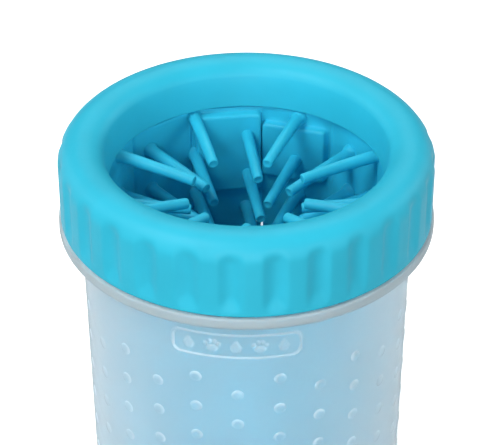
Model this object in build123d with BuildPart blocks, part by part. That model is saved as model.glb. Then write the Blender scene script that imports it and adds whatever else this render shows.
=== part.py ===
from build123d import *
import os
from math import cos, pi, radians, sin, tan

# Paw washer cup: a frosted cup with a threaded neck, a screw-on grip ring with an open throat, a seal
# under the ring, and a silicone mat rolled into a tube whose bristles point at the middle.
# Millimetres. Origin at the centre of the base, +Z up, the badge faces -Y.
# An azimuth is counted from +Y (the back) towards +X.

os.makedirs("parts", exist_ok=True)

# ---- driving dimensions -------------------------------------------------------------------------
ring_z = 130.0  # lower edge of the grip ring above the table
running_gap = 0.3  # between pieces that turn or slide past each other

# cup
flange_r = 50.0
flange_top = ring_z - running_gap
flange_bottom = ring_z - 3.9
flange_edge_r = 1.4
wall_r = 44.16  # outside of the wall, just under the flange
wall_t = 2.0
draft = 0.772  # degrees, the wall narrows towards the base
floor_t = 2.6
foot_h = 1.0  # the floor is raised inside the foot ring
foot_w = 3.5
base_round = 3.0
floor_chamfer = 0.5
neck_r = 43.2
neck_bore_r = 41.0
neck_top = 146.4

# moulded relief on the wall
dot_columns = 25
dot_first_column = 183.0  # azimuth of the column left of the badge's middle
dot_r = 1.65
dot_crown_r = 1.0
dot_h = 0.45
dot_pitch = 9.8
dot_rows = 10
dot_top_z = ring_z - 24.1
badge_azimuth = 183.5
badge_z = ring_z - 13.2
badge_w = 34.5
badge_h = 7.8
badge_line = 0.8
badge_corner = 2.6
badge_relief = 0.4
badge_reach = 20.0  # the frame is projected onto the wall from this distance off the axis

# thread
pitch = 4.5
thread_h = 1.5
thread_root_w = 2.3
thread_tip_w = 1.3
neck_thread_z = ring_z + 4.6
neck_thread_turns = 1.5
ring_thread_turns = 1.25

# grip ring
ring_r = 49.5
ring_foot_r = 49.45
shoulder_r = 6.0
ring_top = 151.8
ring_bore_r = 45.2
ceiling_z = 148.5
crest_r = 37.43  # edge where the top turns down into the throat
crest_z = ring_z + 18.2
throat_r = 36.46
throat_z = ring_z + 9.3
throat_wall = 2.3
groove_count = 28
groove_first = 180.0 - 8.3
groove_depth = 1.05
groove_w = 6.0
groove_bottom_z = ring_z + 3.0

# seal
seal_t = 1.6
seal_bore_r = 41.2
seal_r = 44.9
seal_z = neck_top + 0.2

# rolled mat
panel_count = 12
panel_pitch = 360.0 / panel_count
first_panel = -8.3  # azimuth of the middle of the panel left of the seam
panel_face_r = 37.3  # the axis to the flat inner face of the sheet
sheet_t = 2.0
mat_r = 39.9  # the panel corners are rounded to this radius
mat_top = ring_z + 8.7
seam_w = 0.5
hinge_w = 1.1
hinge_depth = 1.1
pad_w = 18.2
pad_t = 2.0
tall_pad = 25.5
short_pad = 17.6
pad_row_pitch = 40.0
tall_pad_top = ring_z + 7.5
short_pad_top = ring_z + 4.5
pad_corner = 1.5

# bristles
column_count = 16
column_pitch = 360.0 / column_count
bristle_root_r = 1.75
bristle_tip_r = 1.42
bristle_length = 23.0
bristle_droop = 4.0  # degrees below level
row_pitch = 12.8
even_row_top = 1.2  # above ring_z
odd_row_top = 7.0
# columns whose topmost bristle stands at a height of its own, above ring_z
column_top = {-8: 5.3, -7: -0.8, -6: 5.3, -3: 7.2, 0: 0.6, 1: 6.7, 6: 5.3, 7: -0.8}
# how far a column stands round from its even place, in degrees
column_shift = {2: 4.0}
# bristles stand square to a flat panel and so point off the axis, in degrees from the even place
lean = {-3: 2.5, -2: 1.4, -1: 7.1, 0: -9.1, 1: -0.5, 2: 1.8, 3: -3.0}
# bristles that are moulded shorter, in mm
shortened = {-5: 1.2, 5: 2.4}
bristle_floor_gap = 8.0

# ---- worked out ---------------------------------------------------------------------------------
slope = tan(radians(draft))
cup_floor = foot_h + floor_t


def wall_at(z):
    """Outside radius of the cup's wall at height z."""
    return wall_r - (flange_bottom - z) * slope


def polar(azimuth, r):
    """X and Y of a point at a radius, azimuth counted from +Y towards +X."""
    return r * sin(radians(azimuth)), r * cos(radians(azimuth))


def facing_plane(azimuth, r, z, fall=0.0):
    """Plane at a radius whose normal points at the axis, dropping by fall degrees; its Y is up."""
    x, y = polar(azimuth, r)
    tangent = (-cos(radians(azimuth)), sin(radians(azimuth)), 0)
    inward = (
        -sin(radians(azimuth)) * cos(radians(fall)),
        -cos(radians(azimuth)) * cos(radians(fall)),
        -sin(radians(fall)),
    )
    return Plane(origin=(x, y, z), x_dir=tangent, z_dir=inward)


def outward_plane(azimuth, r, z):
    """Plane at a radius whose normal points away from the axis; its Y is up."""
    x, y = polar(azimuth, r)
    tangent = (-cos(radians(azimuth)), sin(radians(azimuth)), 0)
    return Plane(origin=(x, y, z), x_dir=tangent, z_dir=(x, y, 0))


def thread_profile(plane, height):
    """Trapezoid on a plane whose X runs away from the wall and whose Y is up."""
    with BuildSketch(plane) as profile:
        with BuildLine():
            Polyline(
                (-0.6, -thread_root_w / 2),
                (0, -thread_root_w / 2),
                (height, -thread_tip_w / 2),
                (height, thread_tip_w / 2),
                (0, thread_root_w / 2),
                (-0.6, thread_root_w / 2),
                close=True,
            )
        make_face()
    return profile.sketch


# ---- cup ----------------------------------------------------------------------------------------
with BuildPart() as neck_thread:
    with BuildLine() as neck_helix:
        Helix(pitch, pitch * neck_thread_turns, neck_r, center=(0, 0, neck_thread_z))
    neck_start = Plane(origin=neck_helix.line @ 0, x_dir=(1, 0, 0), z_dir=(0, -1, 0))
    add(thread_profile(neck_start, thread_h))
    sweep(path=neck_helix.line, is_frenet=True)

with BuildPart() as badge_band:
    with BuildSketch(Plane.XY.offset(badge_z - badge_h)):
        Circle(wall_at(badge_z) + badge_relief)
        Circle(wall_at(badge_z) - wall_t / 2, mode=Mode.SUBTRACT)
    extrude(amount=2 * badge_h)
    with BuildSketch(outward_plane(badge_azimuth, badge_reach, badge_z)):
        RectangleRounded(badge_w, badge_h, badge_corner)
        RectangleRounded(
            badge_w - 2 * badge_line,
            badge_h - 2 * badge_line,
            badge_corner - badge_line,
            mode=Mode.SUBTRACT,
        )
    extrude(amount=wall_r, mode=Mode.INTERSECT)
badge = badge_band.part

with BuildPart() as cup:
    with BuildSketch(Plane.XZ):
        with BuildLine():
            Polyline(
                (0, foot_h),
                (wall_at(0) - base_round - foot_w, foot_h),
                (wall_at(0) - base_round - foot_w + foot_h, 0),
                (wall_at(0) - base_round, 0),
            )
            RadiusArc(
                (wall_at(0) - base_round, 0),
                (wall_at(base_round), base_round),
                -base_round,
            )
            Polyline(
                (wall_at(base_round), base_round),
                (wall_r, flange_bottom),
                (flange_r, flange_bottom),
                (flange_r, flange_top),
                (neck_r, flange_top),
                (neck_r, neck_top),
                (neck_bore_r, neck_top),
                (neck_bore_r, flange_bottom - 1.0),
                (wall_r - wall_t - 0.05, flange_bottom - 4.0),
                (wall_at(cup_floor) - wall_t, cup_floor + floor_chamfer),
                (wall_at(cup_floor) - wall_t - floor_chamfer, cup_floor),
                (0, cup_floor),
                (0, foot_h),
            )
        make_face()
    revolve(axis=Axis.Z)
    rim_edges = cup.edges().filter_by(GeomType.CIRCLE).filter_by(
        lambda e: abs(e.radius - flange_r) < 0.01
    )
    fillet(rim_edges.sort_by(Axis.Z)[0], flange_edge_r)
    add(neck_thread.part)
    add(badge)
    dot_sink = wall_t / 2
    for row in range(dot_rows):
        spots = []
        for column in range(-(dot_columns // 2), dot_columns // 2 + 1):
            z = dot_top_z - row * dot_pitch - (1 - column % 2) * dot_pitch / 2
            azimuth = dot_first_column + column * 360.0 / dot_columns
            spots.append(outward_plane(azimuth, wall_at(z) - dot_sink, z))
        with Locations(*spots):
            Cone(
                dot_r + dot_sink,
                dot_crown_r,
                dot_sink + dot_h,
                align=(Align.CENTER, Align.CENTER, Align.MIN),
            )
cup.part.label = "cup"
export_step(cup.part, "parts/cup.step")

# ---- grip ring ----------------------------------------------------------------------------------
shoulder_x = ring_r - shoulder_r
with BuildPart() as ring_thread:
    with BuildLine() as ring_helix:
        Helix(
            pitch,
            pitch * ring_thread_turns,
            ring_bore_r,
            center=(0, 0, neck_thread_z - pitch / 2),
        )
    ring_start = Plane(origin=ring_helix.line @ 0, x_dir=(-1, 0, 0), z_dir=(0, 1, 0))
    add(thread_profile(ring_start, thread_h))
    sweep(path=ring_helix.line, is_frenet=True)

with BuildPart() as grip_ring:
    with BuildSketch(Plane.XZ):
        with BuildLine():
            Polyline(
                (ring_bore_r, ring_z),
                (ring_foot_r, ring_z),
                (ring_r, ring_z + 3),
                (ring_r, ring_top - shoulder_r),
            )
            RadiusArc(
                (ring_r, ring_top - shoulder_r),
                (shoulder_x, ring_top),
                -shoulder_r,
            )
            Spline(
                (shoulder_x, ring_top),
                (40.0, ring_top - 1.0),
                (crest_r, crest_z),
                tangents=((-1, 0), (-0.25, -1)),
            )
            Polyline(
                (crest_r, crest_z),
                (throat_r, throat_z),
                (throat_r + throat_wall, throat_z),
                (crest_r + throat_wall, ceiling_z),
                (ring_bore_r, ceiling_z),
                (ring_bore_r, ring_z),
            )
        make_face()
    revolve(axis=Axis.Z)
    add(ring_thread.part)
    groove_r = groove_w**2 / (8 * groove_depth) + groove_depth / 2
    groove_axis_r = ring_r + groove_r - groove_depth
    groove_end_z = groove_bottom_z + groove_w / 2
    with Locations((0, 0, groove_end_z)):
        with PolarLocations(groove_axis_r, groove_count, start_angle=90 - groove_first):
            Cylinder(
                groove_r,
                ring_top - groove_end_z,
                align=(Align.CENTER, Align.CENTER, Align.MIN),
                mode=Mode.SUBTRACT,
            )
            Sphere(groove_r, mode=Mode.SUBTRACT)
grip_ring.part.label = "grip_ring"
export_step(grip_ring.part, "parts/grip_ring.step")

# ---- seal ---------------------------------------------------------------------------------------
with BuildPart() as seal:
    with BuildSketch(Plane.XY.offset(seal_z)):
        Circle(seal_r)
        Circle(seal_bore_r, mode=Mode.SUBTRACT)
    extrude(amount=seal_t)
seal.part.label = "seal"
export_step(seal.part, "parts/seal.step")

# ---- rolled mat ---------------------------------------------------------------------------------
mat_height = mat_top - cup_floor
outer_corner_r = (panel_face_r + sheet_t) / cos(pi / panel_count)
inner_corner_r = panel_face_r / cos(pi / panel_count)
seam_azimuth = first_panel + panel_pitch / 2
with BuildPart() as mat:
    with BuildSketch(Plane.XY.offset(cup_floor)):
        RegularPolygon(outer_corner_r, panel_count, rotation=90 - seam_azimuth)
        Circle(mat_r, mode=Mode.INTERSECT)
        RegularPolygon(inner_corner_r, panel_count, rotation=90 - seam_azimuth, mode=Mode.SUBTRACT)
    extrude(amount=mat_height)
    for number in range(panel_count):
        azimuth = first_panel + number * panel_pitch
        with BuildSketch(
            Plane.XY.offset(cup_floor).rotated((0, 0, 90 - azimuth - panel_pitch / 2))
        ):
            with Locations((inner_corner_r, 0)):
                Rectangle(2 * hinge_depth, hinge_w)
        extrude(amount=mat_height, mode=Mode.SUBTRACT)
    # raised pads stand on the two end panels only, one each side of the seam
    for azimuth, pad_h, pad_top in (
        (first_panel, tall_pad, tall_pad_top),
        (first_panel + panel_pitch, short_pad, short_pad_top),
    ):
        while pad_top - pad_h > cup_floor:
            with BuildSketch(facing_plane(azimuth, panel_face_r, pad_top - pad_h / 2)):
                RectangleRounded(pad_w, pad_h, pad_corner)
            extrude(amount=pad_t)
            pad_top -= pad_row_pitch
    with BuildSketch(Plane.XY.offset(cup_floor).rotated((0, 0, 90 - seam_azimuth))):
        with Locations((panel_face_r, 0)):
            Rectangle(4 * sheet_t, seam_w)
    extrude(amount=mat_height, mode=Mode.SUBTRACT)
mat.part.label = "bristle_mat"
export_step(mat.part, "parts/bristle_mat.step")

# ---- bristles -----------------------------------------------------------------------------------
root_r = panel_face_r + sheet_t / 2
stems = {}  # length: planes at the roots
for column in range(-column_count // 2, column_count // 2):
    azimuth = column * column_pitch
    length = bristle_length + sheet_t / 2 - shortened.get(column, 0.0)
    z = ring_z + column_top.get(column, odd_row_top if column % 2 else even_row_top)
    while z > cup_floor + bristle_floor_gap:
        root = facing_plane(azimuth + column_shift.get(column, 0.0), root_r, z)
        aim = facing_plane(azimuth + lean.get(column, 0.0), root_r, z, bristle_droop)
        stem = Plane(origin=root.origin, x_dir=aim.x_dir, z_dir=aim.z_dir)
        stems.setdefault(length, []).append(stem)
        z -= row_pitch
with BuildPart() as bristles:
    for length, planes in stems.items():
        with Locations(*planes):
            Cone(
                bristle_root_r,
                bristle_tip_r,
                length,
                align=(Align.CENTER, Align.CENTER, Align.MIN),
            )
bristles.part.label = "bristles"
export_step(bristles.part, "parts/bristles.step")
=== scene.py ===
import random
from math import ceil, cos, degrees, floor, hypot, pi, radians, sin, sqrt, tan

import bmesh
import bpy
from mathutils import Matrix, Vector


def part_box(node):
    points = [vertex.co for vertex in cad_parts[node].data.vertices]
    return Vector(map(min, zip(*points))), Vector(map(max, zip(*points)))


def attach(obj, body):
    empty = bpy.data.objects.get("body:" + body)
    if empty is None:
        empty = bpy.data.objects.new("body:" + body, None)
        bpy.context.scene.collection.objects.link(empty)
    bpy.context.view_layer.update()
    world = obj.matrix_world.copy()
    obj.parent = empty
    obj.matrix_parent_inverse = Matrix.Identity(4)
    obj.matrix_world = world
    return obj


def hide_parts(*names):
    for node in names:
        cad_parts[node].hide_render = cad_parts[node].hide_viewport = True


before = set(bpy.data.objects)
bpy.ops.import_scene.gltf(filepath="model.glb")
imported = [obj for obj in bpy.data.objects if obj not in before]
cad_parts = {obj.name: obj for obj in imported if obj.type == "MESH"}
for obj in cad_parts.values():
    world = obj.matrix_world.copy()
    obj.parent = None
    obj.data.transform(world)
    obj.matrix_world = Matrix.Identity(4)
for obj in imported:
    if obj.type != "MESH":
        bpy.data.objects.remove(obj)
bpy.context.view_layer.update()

# Lengths below are millimetres in the CAD frame; MM turns them into Blender's metres.
# Azimuths are counted in degrees from +Y (the back) towards +X, as in the CAD model.
MM = 0.001


def node_box(node):
    """Lowest and highest corner of a CAD node in millimetres."""
    low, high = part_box(node)
    return Vector(low) / MM, Vector(high) / MM


_, CUP_HIGH = node_box("cup")
RING_LOW, RING_HIGH = node_box("grip_ring")
MAT_LOW, MAT_HIGH = node_box("bristle_mat")
SEAL_LOW, SEAL_HIGH = node_box("seal")

RING_Z = RING_LOW.z
RING_TOP = RING_HIGH.z
RING_R = 49.5  # its outer wall between the grooves
FLANGE_R = CUP_HIGH.x
NECK_TOP = CUP_HIGH.z
CUP_FLOOR = MAT_LOW.z
MAT_TOP = MAT_HIGH.z


# ---- small maths --------------------------------------------------------------------------------
def clamp(x, low=0.0, high=1.0):
    return max(low, min(high, x))


def smooth(edge0, edge1, x):
    """0 at edge0, 1 at edge1, with level ends."""
    t = clamp((x - edge0) / (edge1 - edge0))
    return t * t * (3 - 2 * t)


def polar(azimuth, r):
    return r * sin(radians(azimuth)), r * cos(radians(azimuth))


def lerp(a, b, t):
    return a + (b - a) * t


def rounded_box_distance(x, y, half_w, half_h, corner):
    """Signed distance to a rounded rectangle, negative inside."""
    qx = abs(x) - half_w + corner
    qy = abs(y) - half_h + corner
    return hypot(max(qx, 0), max(qy, 0)) + min(max(qx, qy), 0) - corner


def rounded_path(points, radii, steps=6, hold=0.3):
    """Polyline through points, each corner rounded by an arc and held by a point just beside it."""
    path = []
    last = len(points) - 1
    for i, (p, radius) in enumerate(zip(points, radii)):
        p = Vector(p)
        if radius == 0 or i in (0, last):
            path.append(p)
            continue
        to_before = (Vector(points[i - 1]) - p).normalized()
        to_after = (Vector(points[i + 1]) - p).normalized()
        half = to_before.angle(to_after) / 2
        reach = radius / tan(half)
        centre = p + (to_before + to_after).normalized() * (radius / sin(half))
        first = p + to_before * reach
        final = p + to_after * reach
        start = first - centre
        sweep = start.angle_signed(final - centre)
        if (Vector(points[i - 1]) - first).length > 2 * hold:
            path.append(first + to_before * hold)
        for k in range(steps + 1):
            turn = Matrix.Rotation(-sweep * k / steps, 2)
            path.append(centre + turn @ start)
        if (Vector(points[i + 1]) - final).length > 2 * hold:
            path.append(final + to_after * hold)
    return [(v.x, v.y) for v in path]


LENGTH_SLACK = 0.001


def cut_long(path, longest):
    """The same path with its long runs divided."""
    out = [path[0]]
    for a, b in zip(path, path[1:]):
        n = max(1, ceil(hypot(b[0] - a[0], b[1] - a[1]) / longest - LENGTH_SLACK))
        out += [(lerp(a[0], b[0], k / n), lerp(a[1], b[1], k / n)) for k in range(1, n + 1)]
    return out


# ---- meshes -------------------------------------------------------------------------------------
class MeshMaker:
    """Gathers faces given by their corner points in millimetres, then welds them into one mesh."""

    WELD = 2e-6

    def __init__(self):
        self.bm = bmesh.new()

    def vert(self, p):
        return self.bm.verts.new((p[0] * MM, p[1] * MM, p[2] * MM))

    def grid(self, rows, closed=False):
        """Quads between rows of equally many points. closed joins each row's last to its first."""
        made = [[self.vert(p) for p in row] for row in rows]
        for low, high in zip(made, made[1:]):
            count = len(low)
            for i in range(count if closed else count - 1):
                j = (i + 1) % count
                self.bm.faces.new((low[i], low[j], high[j], high[i]))

    def face(self, points):
        self.bm.faces.new([self.vert(p) for p in points])

    def build(self, name, material, sharp=40.0):
        bmesh.ops.remove_doubles(self.bm, verts=self.bm.verts, dist=self.WELD)
        bmesh.ops.dissolve_degenerate(self.bm, edges=self.bm.edges, dist=self.WELD)
        bmesh.ops.recalc_face_normals(self.bm, faces=self.bm.faces)
        mesh = bpy.data.meshes.new(name)
        self.bm.to_mesh(mesh)
        self.bm.free()
        mesh.shade_smooth()
        mesh.set_sharp_from_angle(angle=radians(sharp))
        mesh.materials.append(material)
        obj = bpy.data.objects.new(name, mesh)
        bpy.context.scene.collection.objects.link(obj)
        return obj


def lathe_rows(profile, azimuths, place=None):
    """Rows of points for a turned surface. place(azimuth, r, z) may move each point."""
    rows = []
    for r, z in profile:
        row = []
        for azimuth in azimuths:
            spot_r, spot_z = place(azimuth, r, z) if place else (r, z)
            row.append((*polar(azimuth, spot_r), spot_z))
        rows.append(row)
    return rows


# ---- materials ----------------------------------------------------------------------------------
# Noise scales are features per metre, bump depths are millimetres.
class Shader:
    """A Principled material with the few procedural layers that moulded plastics share."""

    def __init__(self, name, roughness, ior=1.46, **sockets):
        self.material = bpy.data.materials.new(name)
        self.material.use_nodes = True
        self.tree = self.material.node_tree
        self.bsdf = self.tree.nodes["Principled BSDF"]
        self.bsdf.inputs["Roughness"].default_value = roughness
        self.bsdf.inputs["IOR"].default_value = ior
        for socket, value in sockets.items():
            self.bsdf.inputs[socket.replace("_", " ")].default_value = value
        self.coords = self.node("ShaderNodeTexCoord").outputs["Object"]
        self.height = None

    def node(self, kind, **values):
        made = self.tree.nodes.new(kind)
        for key, value in values.items():
            setattr(made, key, value)
        return made

    def link(self, a, b):
        self.tree.links.new(a, b)

    def noise(self, scale, detail=3.0):
        """Noise whose features are about 1 / scale metres across."""
        texture = self.node("ShaderNodeTexNoise")
        texture.inputs["Scale"].default_value = scale
        texture.inputs["Detail"].default_value = detail
        self.link(self.coords, texture.inputs["Vector"])
        return texture.outputs["Fac"]

    def ramp(self, source, stops):
        """Colour ramp over source; stops are (position, colour)."""
        ramp = self.node("ShaderNodeValToRGB")
        ramp.color_ramp.interpolation = "EASE"
        elements = ramp.color_ramp.elements
        while len(elements) < len(stops):
            elements.new(0.5)
        for element, (position, colour) in zip(elements, stops):
            element.position = position
            element.color = (*colour, 1.0)
        self.link(source, ramp.inputs["Fac"])
        return ramp.outputs["Color"]

    def spread(self, source, low, high, start=0.0, end=1.0):
        """Maps source from start..end to low..high."""
        span = self.node("ShaderNodeMapRange")
        span.inputs["From Min"].default_value = start
        span.inputs["From Max"].default_value = end
        span.inputs["To Min"].default_value = low
        span.inputs["To Max"].default_value = high
        self.link(source, span.inputs["Value"])
        return span.outputs["Result"]

    def bump(self, source, depth_mm):
        """Adds a layer of relief under any that is there already."""
        bump = self.node("ShaderNodeBump")
        bump.inputs["Strength"].default_value = 1.0
        bump.inputs["Distance"].default_value = depth_mm * MM
        self.link(source, bump.inputs["Height"])
        if self.height:
            self.link(self.height, bump.inputs["Normal"])
        self.height = bump.outputs["Normal"]
        self.link(self.height, self.bsdf.inputs["Normal"])

    def colour(self, source):
        self.link(source, self.bsdf.inputs["Base Color"])

    def roughness(self, source):
        self.link(source, self.bsdf.inputs["Roughness"])


def shade(colour, factor):
    return tuple(c * factor for c in colour)


def tinted(shader, colour, mottling, scale):
    """Very slightly uneven colour, as pigment in a moulding is."""
    low, high = shade(colour, 1 - mottling), shade(colour, 1 + mottling)
    shader.colour(shader.ramp(shader.noise(scale), [(0.3, low), (0.7, high)]))


RING_BLUE = (0.021, 0.470, 0.650)
MAT_BLUE = (0.027, 0.560, 0.790)
FROST = (0.775, 0.850, 0.885)
FROST_THICK = (0.67, 0.78, 0.82)
# Whiter frost for the badge's relief, and for the dots' sloping rims as a painted highlight.
FROST_RAISED_AND_RIM_HIGHLIGHT = (0.86, 0.92, 0.955)
SEAL_WHITE = (0.80, 0.82, 0.82)
FLOOR_GLOW = 0.45  # near the cup, where the lamps light the floor too
FAR_GLOW = 0.95
NEAR_FLOOR = 0.5  # the glow changes between these distances, in metres
FAR_FLOOR = 1.4


def ring_plastic():
    shader = Shader("ring_plastic", 0.5, Specular_IOR_Level=0.35)
    tinted(shader, RING_BLUE, 0.03, 60)
    shader.roughness(shader.spread(shader.noise(900, 4), 0.46, 0.6))
    shader.bump(shader.noise(4500, 2), 0.012)
    shader.bump(shader.noise(120, 2), 0.03)
    return shader.material


def mat_silicone():
    shader = Shader(
        "mat_silicone",
        0.5,
        ior=1.41,
        Subsurface_Weight=0.12,
        Subsurface_Scale=0.0008,
        Specular_IOR_Level=0.4,
    )
    shader.bsdf.inputs["Subsurface Radius"].default_value = (0.3, 0.8, 1.0)
    tinted(shader, MAT_BLUE, 0.04, 90)
    shader.roughness(shader.spread(shader.noise(700, 4), 0.42, 0.6))
    shader.bump(shader.noise(2500, 3), 0.01)
    return shader.material


def frosted_plastic(name, colour, clearness):
    """Ground-glass look; clearness is the share of light that passes into the wall."""
    shader = Shader(name, 0.55, ior=1.49, Transmission_Weight=clearness)
    tinted(shader, colour, 0.015, 45)
    shader.roughness(shader.spread(shader.noise(600, 4), 0.5, 0.62))
    shader.bump(shader.noise(3500, 3), 0.008)
    return shader.material


def seal_silicone():
    shader = Shader("seal_silicone", 0.55, ior=1.41)
    tinted(shader, SEAL_WHITE, 0.03, 80)
    shader.bump(shader.noise(2500, 3), 0.01)
    return shader.material


def stage_paint(name):
    """White that glows a little, and more far away, where the lamps don't reach."""
    shader = Shader(name, 0.9, Emission_Color=(1, 1, 1, 1))
    tinted(shader, (0.95, 0.95, 0.95), 0.004, 3)
    distance = shader.node("ShaderNodeVectorMath", operation="LENGTH")
    shader.link(shader.coords, distance.inputs[0])
    reach = distance.outputs["Value"]
    glow = shader.spread(reach, FLOOR_GLOW, FAR_GLOW, NEAR_FLOOR, FAR_FLOOR)
    shader.link(glow, shader.bsdf.inputs["Emission Strength"])
    return shader.material


# ---- cup ----------------------------------------------------------------------------------------
WALL_R = 44.16
WALL_T = 2.0
DRAFT = radians(0.772)
FLANGE_LOW = RING_Z - 3.9
FLANGE_TOP = RING_Z - 0.3
NECK_R = 43.2
NECK_BORE_R = 41.0
FOOT_H = 1.0
FOOT_W = 3.5
BASE_ROUND = 3.0
CUP_STEP = 12.0  # longest edge along the cup's profile

DOT_COLUMNS = 25
DOT_FIRST = 183.0
DOT_R = 1.65
DOT_H = 0.44
DOT_FADE = 0.3  # share of the height left at the sides, where the mould parts
DOT_CROWN = 0.6  # 0.5 is a hemisphere, 1 a paraboloid
DOT_ROW = 4.9  # rows alternate between the odd and the even columns
DOT_ROWS = 20
DOT_TOP = RING_Z - 24.1
DOT_RINGS = (1.12, 1.0, 0.93, 0.8, 0.6, 0.33, 0)  # the dot's mesh, as shares of its radius
CELL = 360.0 / DOT_COLUMNS
CELL_CUTS = 6  # edges along each side of a cell

BADGE_AZIMUTH = 183.5
BADGE_Z = RING_Z - 13.2
BADGE_W = 34.5
BADGE_H = 7.8
BADGE_LINE = 0.8
BADGE_CORNER = 2.6
BADGE_RELIEF = 0.45
BADGE_FINE = 6  # pieces that each edge near the badge is cut into
BADGE_SPAN = 24.0  # degrees each side that are cut finer
BADGE_STEP = 0.3
BADGE_MARGIN = 1.0  # finely cut wall above and below the badge
MARK_PITCH = 6.2
MARK_SCALE = 0.95
MARK_HEIGHT = 0.9  # share of the frame's relief
RAISED = 0.05  # relief from here up gets the whiter frost: all of the badge's, but of the dots only the sloping rim, as a painted highlight round each dot
DOT_RIM = 0.975  # cosine of the slope that counts as rim


def wall_at(z):
    return WALL_R - (FLANGE_LOW - z) * tan(DRAFT)


def paw_mark(x, y):
    """Signed distance to a small paw: one broad pad and four toes."""
    pad = hypot(x / 1.25, (y + 0.75) / 0.95) - 1.0
    toes = [(-1.6, 0.55), (-0.55, 1.35), (0.55, 1.35), (1.6, 0.55)]
    return min(pad, *[hypot(x - tx, (y - ty) * 0.8) - 0.45 for tx, ty in toes])


def drop_mark(x, y):
    """Signed distance to a water drop."""
    bulb = hypot(x, y + 0.7) - 1.05
    tip = max(abs(x) * 0.87 + (y - 1.9) * 0.5, -(y + 0.3))
    return min(bulb, tip)


def from_badge(azimuth):
    """Degrees round from the badge's middle, between -180 and 180."""
    return (azimuth - BADGE_AZIMUTH + 180) % 360 - 180


def badge_relief(azimuth, z):
    """Height of the badge's frame and marks over the wall."""
    x = radians(from_badge(azimuth)) * WALL_R
    y = z - BADGE_Z
    edge = rounded_box_distance(x, y, BADGE_W / 2, BADGE_H / 2, BADGE_CORNER)
    height = 1 - smooth(0.2, 0.5, abs(edge + BADGE_LINE / 2))
    for place, mark in zip(range(-2, 3), (drop_mark, paw_mark, drop_mark, paw_mark, drop_mark)):
        d = mark((x - place * MARK_PITCH) * MARK_SCALE, y)
        height = max(height, MARK_HEIGHT * (1 - smooth(-0.12, 0.15, d)))
    return BADGE_RELIEF * height


def wall_point(azimuth, z, height=0.0):
    return (*polar(azimuth, wall_at(z) + height), z)


def plain_cell(maker, azimuth, z):
    rows = []
    for j in range(CELL_CUTS + 1):
        row_z = z + DOT_ROW * (j / CELL_CUTS - 0.5)
        row = [azimuth + CELL * (i / CELL_CUTS - 0.5) for i in range(CELL_CUTS + 1)]
        rows.append([wall_point(a, row_z) for a in row])
    maker.grid(rows)


def dot_cell(maker, azimuth, z):
    """A cell whose mesh runs in rings from its square edge to a raised round dot."""
    count = 4 * CELL_CUTS
    height = DOT_H * lerp(DOT_FADE, 1.0, abs(cos(radians(azimuth))))
    corners = [(0.5, 0.5), (-0.5, 0.5), (-0.5, -0.5), (0.5, -0.5)]
    border = []
    for side in range(4):
        a, b = corners[side], corners[(side + 1) % 4]
        for k in range(CELL_CUTS):
            t = k / CELL_CUTS
            border.append((lerp(a[0], b[0], t) * CELL, lerp(a[1], b[1], t) * DOT_ROW))
    rows = [[wall_point(azimuth + a, z + b) for a, b in border]]
    for share in DOT_RINGS:
        r = DOT_R * share
        rise = height * (1 - min(share, 1) ** 2) ** DOT_CROWN
        row = []
        for k in range(count):
            angle = radians(45) + 2 * pi * k / count
            shift = degrees(r * cos(angle) / wall_at(z))
            row.append(wall_point(azimuth + shift, z + r * sin(angle), rise))
        rows.append(row)
    maker.grid(rows, closed=True)


def badge_band(maker, low, high, around):
    """The stretch of wall above the dots, with its edges and rows cut finer near the badge."""
    step = around[1] - around[0]
    fine = []
    for azimuth in around[:-1]:
        near = abs(from_badge(azimuth + step / 2)) < BADGE_SPAN
        cuts = BADGE_FINE if near else 1
        fine += [azimuth + step * k / cuts for k in range(cuts)]
    fine.append(around[-1])
    foot = BADGE_Z - BADGE_H / 2 - BADGE_MARGIN
    head = BADGE_Z + BADGE_H / 2 + BADGE_MARGIN
    levels = [low + 1.0, (low + foot) / 2]
    count = int((head - foot) / BADGE_STEP)
    levels += [lerp(foot, head, k / count) for k in range(count + 1)]
    levels += [(head + high) / 2, high - 1.0]
    maker.grid([[wall_point(a, z, badge_relief(a, z)) for a in fine] for z in levels])
    for coarse_z, fine_z in ((low, levels[0]), (high, levels[-1])):
        for a, b in zip(around, around[1:]):
            between = [f for f in fine if a - 1e-6 <= f <= b + 1e-6]
            corners = [wall_point(f, fine_z) for f in reversed(between)]
            maker.face([wall_point(a, coarse_z), wall_point(b, coarse_z), *corners])


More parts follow.
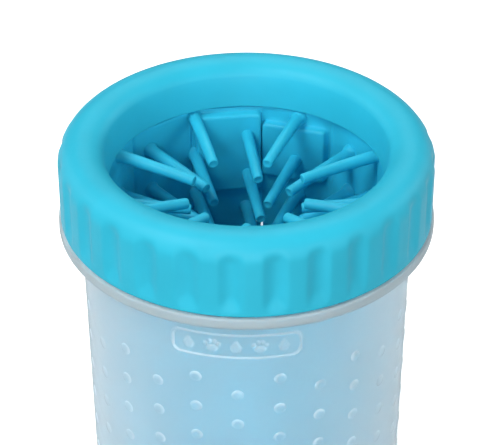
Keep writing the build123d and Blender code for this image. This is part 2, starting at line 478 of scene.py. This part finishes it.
def make_cup(wall_material, rim_material, base_material, raised_and_rim_highlight_material):
    """The whole cup but its thread, as one closed skin."""
    maker = MeshMaker()
    first = DOT_FIRST - (DOT_COLUMNS // 2 + 0.5) * CELL
    around = [first + CELL * k / CELL_CUTS for k in range(DOT_COLUMNS * CELL_CUTS + 1)]
    for row in range(DOT_ROWS):
        z = DOT_TOP - row * DOT_ROW
        for column in range(-(DOT_COLUMNS // 2), DOT_COLUMNS // 2 + 1):
            cell = plain_cell if column % 2 == row % 2 else dot_cell
            cell(maker, DOT_FIRST + column * CELL, z)
    dots_top = DOT_TOP + DOT_ROW / 2
    dots_low = DOT_TOP - (DOT_ROWS - 0.5) * DOT_ROW
    wall_top = FLANGE_LOW - 0.6
    badge_band(maker, dots_top, wall_top, around)
    rim = rounded_path(
        [
            (wall_at(wall_top), wall_top),
            (WALL_R, FLANGE_LOW),
            (FLANGE_R, FLANGE_LOW),
            (FLANGE_R, FLANGE_TOP),
            (NECK_R, FLANGE_TOP),
            (NECK_R, NECK_TOP),
            (NECK_BORE_R, NECK_TOP),
            (NECK_BORE_R, FLANGE_LOW - 1.0),
            (WALL_R - WALL_T - 0.05, FLANGE_LOW - 4.0),
            (wall_at(CUP_FLOOR) - WALL_T, CUP_FLOOR),
            (0, CUP_FLOOR),
        ],
        [0, 0.4, 1.4, 0.5, 0.4, 0.7, 0.5, 1.0, 1.5, 0.45, 0],
    )
    foot_outer = wall_at(0) - BASE_ROUND
    foot = rounded_path(
        [
            (wall_at(dots_low), dots_low),
            (wall_at(0), 0),
            (foot_outer - FOOT_W, 0),
            (foot_outer - FOOT_W - FOOT_H, FOOT_H),
            (0, FOOT_H),
        ],
        [0, BASE_ROUND, 0.3, 0.4, 0],
        steps=8,
    )
    for profile in (rim, foot):
        maker.grid(lathe_rows(cut_long(profile, CUP_STEP), around))
    cup = maker.build("cup_shell", wall_material)
    for material in (rim_material, base_material, raised_and_rim_highlight_material):
        cup.data.materials.append(material)
    for face in cup.data.polygons:
        x, y, z = face.center / MM
        if z > FLANGE_LOW - 0.3:
            face.material_index = 1
        elif z < CUP_FLOOR + 0.2:
            face.material_index = 2
        # The badge's relief and the dots' sloping rims take the whiter frost; on the dots it is a
        # painted highlight.
        elif hypot(x, y) - wall_at(z) > RAISED:
            outwards = Vector((x, y, 0)).normalized()
            if z > dots_top or face.normal.dot(outwards) < DOT_RIM:
                face.material_index = 3
    return cup


# ---- threads ------------------------------------------------------------------------------------
PITCH = 4.5
THREAD_H = 1.5
THREAD_ROOT = 2.3
THREAD_STEPS = 120  # per turn
THREAD_FADE = 0.06  # share of the length in which each end runs out
# One flank from inside the wall to the crest: (height, width) as shares of height and root width.
THREAD_FLANK = [(-0.4, -0.5), (0.0, -0.5), (0.65, -0.36), (0.93, -0.24), (1.0, 0.0)]
NECK_THREAD_Z = RING_Z + 4.6
RING_BORE_R = 45.2


def make_thread(name, r, outward, low_z, turns, start, material):
    """A helical ridge with rounded flanks that runs out into the wall at both ends."""
    maker = MeshMaker()
    section = THREAD_FLANK + [(h, -w) for h, w in reversed(THREAD_FLANK[:-1])]
    steps = int(turns * THREAD_STEPS)
    rows = []
    for k in range(steps + 1):
        t = k / steps
        fade = smooth(0, THREAD_FADE, t) * smooth(0, THREAD_FADE, 1 - t)
        z = low_z + turns * PITCH * t
        azimuth = start - 360 * turns * t
        row = []
        for h, w in section:
            height = (h * fade if h > 0 else h) * THREAD_H
            row.append((*polar(azimuth, r + outward * height), z + w * THREAD_ROOT))
        rows.append(row)
    maker.grid(rows, closed=True)
    maker.face(rows[0])
    maker.face(rows[-1])
    return maker.build(name, material)


# ---- grip ring ----------------------------------------------------------------------------------
SHOULDER_R = 6.0
CEILING_Z = 148.5
CREST_R = 37.43
CREST_Z = RING_Z + 18.2
THROAT_R = 36.46
THROAT_Z = RING_Z + 9.3
THROAT_WALL = 2.3
GROOVES = 28
GROOVE_FIRST = 180.0 - 8.3
GROOVE_DEPTH = 1.15
GROOVE_HALF = 3.3
GROOVE_EDGE = 1.4  # how softly the hollow meets the wall: 1 is a crease
GROOVE_LOW = RING_Z + 0.9
GROOVE_END = 5.6  # length of the rounded lower end
GROOVE_HIGH = RING_Z + 19.2
GROOVE_FADE = 3.4  # length in which the upper end runs out over the shoulder
GROOVE_CUTS = 20
GROOVE_PITCH = 360.0 / GROOVES
WALL_STEP = 0.75  # longest edge up the outer wall
SHOULDER_STEPS = 14
LIP_STEPS = 12


def groove_depth(azimuth, z):
    """How far a finger groove cuts into the ring's outer wall."""
    off = (azimuth - GROOVE_FIRST) / GROOVE_PITCH
    across = radians((off - floor(off + 0.5)) * GROOVE_PITCH) * RING_R
    below = max(GROOVE_LOW + GROOVE_END - z, 0) * GROOVE_HALF / GROOVE_END
    away = (across**4 + below**4) ** 0.25 / GROOVE_HALF
    hollow = max(0.0, 1 - away * away) ** GROOVE_EDGE
    fade = 1 - smooth(GROOVE_HIGH - GROOVE_FADE, GROOVE_HIGH + 0.6, z)
    return GROOVE_DEPTH * hollow * fade


def make_ring(material):
    """The ring's section turned round: outer wall, shoulder, lip, throat, ceiling and bore."""
    corner_z = RING_TOP - SHOULDER_R
    corner_r = RING_R - SHOULDER_R
    foot = [(RING_BORE_R, RING_Z), (RING_R - 0.05, RING_Z), (RING_R, corner_z)]
    outer = rounded_path(foot, [0, 0.6, 0])
    outer = outer[:-1] + cut_long([outer[-2], outer[-1]], WALL_STEP)[1:]
    shoulder = []
    for k in range(1, SHOULDER_STEPS + 1):
        angle = pi / 2 * k / SHOULDER_STEPS
        shoulder.append((corner_r + SHOULDER_R * cos(angle), corner_z + SHOULDER_R * sin(angle)))
    lip = []
    handles = [(corner_r, RING_TOP), (40.6, RING_TOP), (38.1, RING_TOP - 1.1), (CREST_R, CREST_Z)]
    for k in range(1, LIP_STEPS + 1):
        t = k / LIP_STEPS
        weights = ((1 - t) ** 3, 3 * t * (1 - t) ** 2, 3 * t * t * (1 - t), t**3)
        lip.append(tuple(sum(w * h[i] for w, h in zip(weights, handles)) for i in (0, 1)))
    inner = rounded_path(
        [
            (CREST_R, CREST_Z),
            (THROAT_R, THROAT_Z),
            (THROAT_R + THROAT_WALL, THROAT_Z),
            (CREST_R + THROAT_WALL, CEILING_Z),
            (RING_BORE_R, CEILING_Z),
            (RING_BORE_R, RING_Z),
        ],
        [0, 0.35, 0.6, 0.6, 0.8, 0],
    )
    profile = outer + shoulder + lip + cut_long(inner, 3.0)[1:]

    def place(azimuth, r, z):
        """Sinks a point into its groove, inwards on the wall, also downwards on the shoulder."""
        if r < corner_r or z < GROOVE_LOW:
            return r, z
        depth = groove_depth(azimuth, z)
        lean = clamp((z - corner_z) / SHOULDER_R)
        return r - depth * sqrt(1 - lean * lean * 0.5), z - depth * lean * 0.7

    count = GROOVES * GROOVE_CUTS
    around = [GROOVE_FIRST + 360 * k / count for k in range(count + 1)]
    maker = MeshMaker()
    maker.grid(lathe_rows(profile, around, place))
    return maker.build("grip_ring_shell", material)


# ---- bristle mat --------------------------------------------------------------------------------
PANELS = 12
PANEL = 360.0 / PANELS
FIRST_PANEL = -8.3
FACE_R = 37.3
PANEL_HALF_W = FACE_R * tan(radians(PANEL / 2))
SHEET_T = 2.0
MAT_R = 39.9
PAD_HALF_W = 9.1
PAD_T = 2.0
PAD_CORNER = 1.5
PAD_TO_SEAM = 0.25  # how far the pads beside the seam are shifted to it
PAD_DRAFT = 0.25  # width of the sloping side wall
PAD_ROUND = 0.85  # width of the rounded edge
PAD_WALL = 0.6  # share of the height that is side wall
PAD_STEPS = (-0.1, 0.02, 0.25, 0.32, 0.46, 0.7, 1.1, 1.6)
PAD_ROW = 40.0
MAT_ROW = 3.0  # height of the mesh's plain rows
MAT_ROW_CLEAR = 1.2  # they keep this far from the rows that shape the pads
MAT_TOP_EDGE = ((0.15, 0.15), (0, 0.6), (0, 1.4), (0.15, 1.85))  # (below the top, into the sheet)
MAT_FOOT_EDGE = (1.5, 0.5)
TALL_PAD = (RING_Z + 7.5, 25.5)  # top edge, height
SHORT_PAD = (RING_Z + 4.5, 17.6)
SEAM_HALF = 0.5
HINGE_HALF = 0.55
HINGE_DEPTH = 0.4


def pad_height(number, across, z):
    """Relief of the raised pads, which only the two end panels have."""
    if number > 1:
        return 0.0
    top, tall = TALL_PAD if number == 0 else SHORT_PAD
    drop = (top - z) / PAD_ROW
    row = max(0, floor(drop))
    centre = top - row * PAD_ROW - tall / 2
    if centre - tall / 2 < CUP_FLOOR:
        return 0.0
    toward_seam = PAD_TO_SEAM if number == 0 else -PAD_TO_SEAM
    half_w = PAD_HALF_W + PAD_TO_SEAM
    inside = -rounded_box_distance(across - toward_seam, z - centre, half_w, tall / 2, PAD_CORNER)
    if inside < PAD_DRAFT:
        return PAD_T * PAD_WALL * clamp(inside / PAD_DRAFT)
    t = clamp((inside - PAD_DRAFT) / PAD_ROUND)
    return PAD_T * (PAD_WALL + (1 - PAD_WALL) * sqrt(1 - (1 - t) ** 2))


def panel_lines():
    """Places across a panel, as fractions of its half width; close together at edges and hinges."""
    side = [0, 0.25, 0.5, 0.72, 1.0]
    for edge in (PAD_HALF_W, PAD_HALF_W + 2 * PAD_TO_SEAM):
        side += [(edge - step) / PANEL_HALF_W for step in PAD_STEPS]
    side += [1 - HINGE_HALF / PANEL_HALF_W + 0.012]
    side = sorted(set(side))
    return [-s for s in reversed(side[1:])] + side


def mat_levels():
    """Heights of the mat's rows, close together at the pads' edges."""
    levels = {CUP_FLOOR + 0.6, MAT_TOP - 0.6}
    for top, tall in (TALL_PAD, SHORT_PAD):
        while top - tall > CUP_FLOOR:
            for edge, inward in ((top, -1), (top - tall, 1)):
                levels.update(edge + inward * step for step in PAD_STEPS)
            top -= PAD_ROW
    z = CUP_FLOOR + MAT_ROW
    while z < MAT_TOP - 2:
        if min(abs(z - level) for level in levels) > MAT_ROW_CLEAR:
            levels.add(z)
        z += MAT_ROW
    return sorted(levels)


def panel_point(number, share, z, depth):
    """A point of a flat panel: share across it, depth inwards from its face."""
    azimuth = FIRST_PANEL + number * PANEL
    across = share * (FACE_R + max(0.0, -depth)) * tan(radians(PANEL / 2))
    nx, ny = polar(azimuth, 1.0)
    tx, ty = ny, -nx
    r = FACE_R - depth
    x, y = nx * r + tx * across, ny * r + ty * across
    reach = hypot(x, y)
    if reach > MAT_R:
        x, y = x * MAT_R / reach, y * MAT_R / reach
    return x, y, z


# How far panels stand out from twelve even sides, at their start and end, because the sheet's first
# end lies rather straight. Its last edge leans in.
LIE = {1: (-0.5, 1.3), 2: (1.3, 0.0)}
LAST_EDGE_IN = 0.8


def lie(number, share):
    """How far outwards the sheet stands from twelve even sides."""
    if number in LIE:
        return lerp(*LIE[number], (share + 1) / 2)
    if number == 0:
        return -LAST_EDGE_IN * smooth(0.5, 1.0, share)
    return 0.0


def seam_gap(z):
    """The sheet's ends meet at the top and stand apart lower down."""
    return SEAM_HALF * smooth(RING_Z - 22, RING_Z - 33, z) + 0.02


def make_mat(material):
    """Panels are laid side by side from the seam round to the seam again, as one thick sheet."""
    shares = panel_lines()
    order = list(range(1, PANELS)) + [0]
    levels = mat_levels()
    columns = []
    for number in order:
        for share in shares[:-1] if number != 0 else shares:
            columns.append((number, share))

    def spot(column, z, depth):
        number, share = column
        seam_share = 1 - seam_gap(z) / PANEL_HALF_W
        if number == 1:
            share = max(share, -seam_share)
        if number == 0:
            share = min(share, seam_share)
        return panel_point(number, share, z, depth - lie(number, share))

    def inner(column, z):
        number, share = column
        hinge = abs(abs(share) - 1) * PANEL_HALF_W
        at_seam = (number == 1 and share < 0) or (number == 0 and share > 0)
        groove = 0 if at_seam else HINGE_DEPTH * (1 - smooth(0, HINGE_HALF * 1.4, hinge))
        return spot(column, z, pad_height(number, share * PANEL_HALF_W, z) - groove)

    rows = [[inner(c, z) for c in columns] for z in levels]
    for drop, depth in MAT_TOP_EDGE:
        rows.append([spot(c, MAT_TOP - drop, -depth) for c in columns])
    rows += [[spot(c, z, -SHEET_T) for c in columns] for z in reversed(levels)]
    for depth in MAT_FOOT_EDGE:
        rows.append([spot(c, CUP_FLOOR, -depth) for c in columns])
    rows.append(rows[0])
    maker = MeshMaker()
    maker.grid(rows)
    top = len(levels)
    back_top = top + len(MAT_TOP_EDGE)
    back_foot = back_top + len(levels)
    for end in (0, -1):
        loop = [row[end] for row in rows[:-1]]
        front, back = loop[:top], loop[back_top:back_foot][::-1]
        maker.grid([[f, b] for f, b in zip(front, back)])
        maker.face([front[-1], *loop[top:back_top], back[-1]])
        maker.face([front[0], back[0], *loop[back_foot:]])
    return maker.build("mat_sheet", material, sharp=50)


# ---- bristles -----------------------------------------------------------------------------------
COLUMNS = 16
COLUMN = 360.0 / COLUMNS
ROOT_R = 1.75
TIP_R = 1.42
LENGTH = 23.0
DROOP = 4.0  # degrees below level
ROW = 12.8
EVEN_TOP = 1.2  # topmost bristle of the even columns, above RING_Z
ODD_TOP = 7.0
# Columns that differ, by number from the back: topmost height, degrees the roots are shifted,
# degrees the bristles point off the axis, millimetres shorter.
COLUMN_TOP = {-8: 5.3, -7: -0.8, -6: 5.3, -3: 7.2, 0: 0.6, 1: 6.7, 6: 5.3, 7: -0.8}
COLUMN_SHIFT = {2: 4.0}
LEAN = {-3: 2.5, -2: 1.4, -1: 7.1, 0: -9.1, 1: -0.5, 2: 1.8, 3: -3.0}
SHORTENED = {-5: 1.2, 5: 2.4}
FLOOR_GAP = 8.0
BRISTLE_SIDES = 20
# (distance along the finger, radius as a share): the flared root, and the rounded rim round the
# dished end, whose distances count from the tip.
BRISTLE_ROOT = ((-1.4, 1.5), (-0.6, 1.42), (0, 1.33), (0.35, 1.18), (0.8, 1.07), (1.5, 1.01))
BRISTLE_TIP = ((-0.22, 0.975), (-0.06, 0.9), (0.0, 0.79), (-0.05, 0.68), (-0.16, 0.5), (-0.2, 0))
BRISTLE_STEPS = 7
UP = Vector((0, 0, 1))


def add_bristle(maker, root, inward, droop, length):
    """A tapered finger: flared root, slight bend, rounded rim round a dished end."""
    side = UP.cross(inward).normalized()
    stations = [(distance, ROOT_R * share) for distance, share in BRISTLE_ROOT]
    flare_end = BRISTLE_ROOT[-1][0]
    for k in range(1, BRISTLE_STEPS + 1):
        t = k / BRISTLE_STEPS
        r = lerp(ROOT_R, TIP_R, lerp(0.06, 0.98, t))
        stations.append((lerp(flare_end, length - 0.5, t), r))
    stations += [(length + distance, TIP_R * share) for distance, share in BRISTLE_TIP]
    rows = []
    for distance, r in stations:
        t = max(distance, 0) / length
        fall = tan(radians(droop)) * distance * lerp(0.7, 1.15, t)
        centre = root + inward * distance - UP * fall
        slope = radians(droop) * lerp(0.7, 1.6, t)
        up = (UP * cos(slope) + inward * sin(slope)).normalized()
        ring = []
        for k in range(BRISTLE_SIDES):
            angle = 2 * pi * k / BRISTLE_SIDES
            ring.append(centre + side * (r * cos(angle)) + up * (r * sin(angle)))
        rows.append(ring)
    maker.grid(rows, closed=True)
    maker.face(rows[0])


def make_bristles(material):
    rng = random.Random(11)
    maker = MeshMaker()
    for column in range(-COLUMNS // 2, COLUMNS // 2):
        azimuth = column * COLUMN
        root_azimuth = azimuth + COLUMN_SHIFT.get(column, 0.0)
        off_middle = (root_azimuth - FIRST_PANEL + PANEL / 2) % PANEL - PANEL / 2
        face_r = FACE_R / cos(radians(off_middle))
        z = RING_Z + COLUMN_TOP.get(column, ODD_TOP if column % 2 else EVEN_TOP)
        while z > CUP_FLOOR + FLOOR_GAP:
            root = Vector((*polar(root_azimuth, face_r), z))
            heading = azimuth + LEAN.get(column, 0.0) + rng.uniform(-1.0, 1.0)
            inward = Vector((*polar(heading, -1.0), 0))
            droop = DROOP + rng.uniform(-0.7, 0.7)
            length = LENGTH - SHORTENED.get(column, 0.0) + rng.uniform(-0.3, 0.2)
            add_bristle(maker, root, inward, droop, length)
            z -= ROW
    return maker.build("bristle_fingers", material, sharp=70)


# ---- seal ---------------------------------------------------------------------------------------
SEAL_BORE_R = 41.2
SEAL_ROUND = 0.45


def make_seal(material):
    low, high = SEAL_LOW.z, SEAL_HIGH.z
    outer = SEAL_HIGH.x
    middle = ((SEAL_BORE_R + outer) / 2, low)
    corners = [(outer, low), (outer, high), (SEAL_BORE_R, high), (SEAL_BORE_R, low)]
    radii = [0, *[SEAL_ROUND] * len(corners), 0]
    profile = rounded_path([middle, *corners, middle], radii, steps=5)
    maker = MeshMaker()
    maker.grid(lathe_rows(profile, [3.0 * k for k in range(121)]))
    return maker.build("seal_ring", material)


# ---- stage --------------------------------------------------------------------------------------
CAMERA_DISTANCE = 550.0
CAMERA_ELEVATION = radians(33.785)
CAMERA_PITCH = radians(34.213)
CAMERA_YAW = radians(0.116)
LENS = 148.32


def make_camera():
    """Long lens, looking down at the ring from the front."""
    data = bpy.data.cameras.new("camera")
    data.lens = LENS
    data.sensor_width = 36.0
    data.clip_start = 0.01
    camera = bpy.data.objects.new("camera", data)
    out = CAMERA_DISTANCE * cos(CAMERA_ELEVATION)
    up = RING_Z + CAMERA_DISTANCE * sin(CAMERA_ELEVATION)
    camera.location = Vector((0, -out, up)) * MM
    camera.rotation_euler = (pi / 2 - CAMERA_PITCH, 0, -CAMERA_YAW)
    bpy.context.scene.collection.objects.link(camera)
    bpy.context.scene.camera = camera


FLOOR_SIZE = 4000.0  # from the middle to each side
DOME_R = 4200.0
DOME_DROP = 5.0  # the dome's rim is this far under the floor


def make_floor(material):
    """White ground that throws no coloured or white light back at the object."""
    maker = MeshMaker()
    places = [FLOOR_SIZE * k / 2 for k in range(-2, 3)]
    maker.grid([[(x, y, 0) for x in places] for y in places])
    floor_plane = maker.build("floor", material)
    floor_plane.visible_diffuse = False


def make_backdrop(material):
    """A pale dome behind everything, which only the camera sees."""
    maker = MeshMaker()
    angles = [radians(a) for a in range(0, 91, 10)]
    profile = [(DOME_R * cos(a), DOME_R * sin(a) - DOME_DROP) for a in angles]
    maker.grid(lathe_rows(profile, range(0, 361, 15)))
    dome = maker.build("backdrop", material)
    dome.visible_diffuse = False
    dome.visible_glossy = False
    dome.visible_transmission = False
    dome.visible_shadow = False


WORLD_STRENGTH = 0.07
SOFTBOX_SIZE = 0.5
SOFTBOXES = {  # place in metres, power in watts
    "key": ((-0.55, -0.45, 1.1), 9.1),
    "front_low": ((0.0, -1.25, 0.45), 8.6),
    "side_right": ((0.9, -0.7, 0.5), 3.4),
    "side_left": ((-0.9, -0.7, 0.5), 2.3),
    "back": ((0.0, 0.7, 1.0), 3.4),
    "back_right": ((1.0, 0.5, 0.6), 3.4),
    "back_left": ((-1.0, 0.5, 0.6), 2.5),
}


def softbox(name, place, power):
    """A square area light aimed at the ring."""
    data = bpy.data.lights.new(name, "AREA")
    data.energy = power
    data.size = SOFTBOX_SIZE
    light = bpy.data.objects.new(name, data)
    light.location = place
    aim = Vector((0, 0, RING_Z * MM)) - Vector(place)
    light.rotation_euler = aim.to_track_quat("-Z", "Y").to_euler()
    bpy.context.scene.collection.objects.link(light)


def make_light():
    world = bpy.data.worlds.new("studio")
    world.use_nodes = True
    sky = world.node_tree.nodes["Background"]
    sky.inputs["Color"].default_value = (1, 1, 1, 1)
    sky.inputs["Strength"].default_value = WORLD_STRENGTH
    bpy.context.scene.world = world
    for name, (place, power) in SOFTBOXES.items():
        softbox(name, place, power)
    bpy.context.scene.view_settings.view_transform = "Standard"


# ---- the object ---------------------------------------------------------------------------------
def dress(piece, body, slot, *nodes):
    """Puts a piece on its body, in place of the CAD nodes named. slot is not used."""
    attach(piece, body)
    if nodes:
        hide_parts(*nodes)


frost = frosted_plastic("frosted_plastic", FROST, 0.9)
thick_frost = frosted_plastic("frosted_plastic_thick", FROST_THICK, 0.55)
base_frost = frosted_plastic("frosted_plastic_base", FROST_THICK, 0.2)
# Whiter frost: the badge's relief, and a painted highlight on the dots' rims.
raised_frost_and_rim_highlight = frosted_plastic("frosted_plastic_raised_and_rim_highlight", FROST_RAISED_AND_RIM_HIGHLIGHT, 0.72)
blue = ring_plastic()
silicone = mat_silicone()

dress(make_cup(frost, thick_frost, base_frost, raised_frost_and_rim_highlight), "cup", "frosted_plastic", "cup")
neck_thread = make_thread("neck_thread", NECK_R, 1, NECK_THREAD_Z, 1.5, 90, thick_frost)
dress(neck_thread, "cup", "frosted_plastic")
dress(make_ring(blue), "ring", "ring_plastic", "grip_ring")
ring_thread = make_thread("ring_thread", RING_BORE_R, -1, NECK_THREAD_Z - PITCH / 2, 1.25, 90, blue)
dress(ring_thread, "ring", "ring_plastic")
dress(make_mat(silicone), "cup", "mat_silicone", "bristle_mat")
dress(make_bristles(silicone), "cup", "mat_silicone", "bristles")
dress(make_seal(seal_silicone()), "seal", "seal_silicone", "seal")

make_camera()
make_floor(stage_paint("stage_white"))
make_backdrop(stage_paint("backdrop_white"))
make_light()
